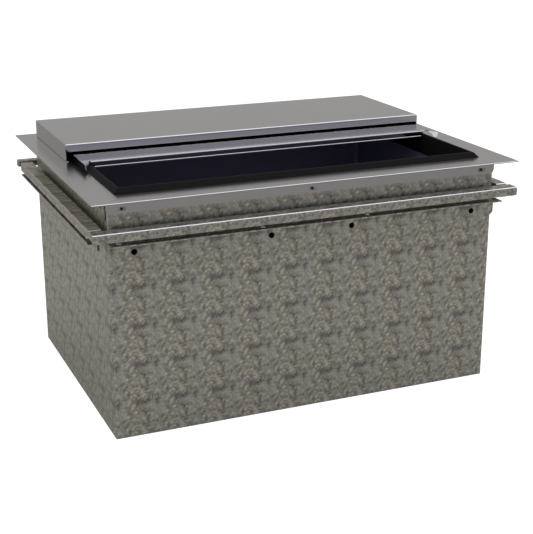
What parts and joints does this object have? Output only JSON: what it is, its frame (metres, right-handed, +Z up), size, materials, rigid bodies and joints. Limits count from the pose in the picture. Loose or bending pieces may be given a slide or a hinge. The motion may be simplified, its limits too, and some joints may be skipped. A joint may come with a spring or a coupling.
{
  "type": "ice bin",
  "caption": "Drop-in insulated ice bin: steel liner and hemmed deck, galvanised shell with clamp rails, black breaker strips, a sliding lid under a lift-off rear cover, and a drain.",
  "frame": {"origin": "centre of the flat base", "axes": "+X to the right along the front, +Y to the back, +Z up; the front with the open mouth faces -Y"},
  "size_m": [0.7644, 0.5588, 0.4395],
  "materials": {
    "galvanised": "galvanised, spangled",
    "stainless": "fine satin stainless",
    "liner_steel": "smooth stainless",
    "dark_pins": "black oxide",
    "rivet_steel": "plain steel",
    "black_plastic": "satin moulded",
    "foam": "rigid foam, graphite grey",
    "seal_rubber": "matt",
    "brass": "machined"
  },
  "bodies": {
    "bin": {"shell_wrap": "galvanised", "shell_back": "galvanised", "shell_base": "galvanised", "foam_insulation": "foam", "liner": "liner_steel", "rim_seal": "seal_rubber", "deck": "stainless", "apron_front": "stainless", "apron_rear": "stainless", "apron_pins": "dark_pins", "breaker_front": "black_plastic", "breaker_rear": "black_plastic", "breaker_left": "black_plastic", "breaker_right": "black_plastic", "ledge_front": "galvanised", "ledge_rear": "galvanised", "ledge_left": "galvanised", "ledge_right": "galvanised", "rail_front": "galvanised", "rail_rear": "galvanised", "rail_left": "galvanised", "rail_right": "galvanised", "rail_rivets": "rivet_steel", "cover_studs": "rivet_steel", "drain_body": "liner_steel", "drain_gasket": "seal_rubber", "drain_locknut": "brass", "drain_socket": "brass"},
    "lid": {"sliding_lid": "stainless", "lid_glide_left": "black_plastic", "lid_glide_right": "black_plastic"},
    "cover": {"rear_cover": "stainless"},
    "strainer": {"drain_strainer": "liner_steel", "strainer_knob": "liner_steel"}
  },
  "joints": [
    {"name": "lid_slide", "type": "slide", "parent": "bin", "child": "lid", "axis": [0, -1, 0], "range_m": [-0.038, 0.167]},
    {"name": "cover_lift", "type": "slide", "parent": "bin", "child": "cover", "axis": [0, 0, 1], "range_m": [0, 0.06]},
    {"name": "strainer_lift", "type": "slide", "parent": "bin", "child": "strainer", "axis": [0, 0, 1], "range_m": [0, 0.06]}
  ]
}
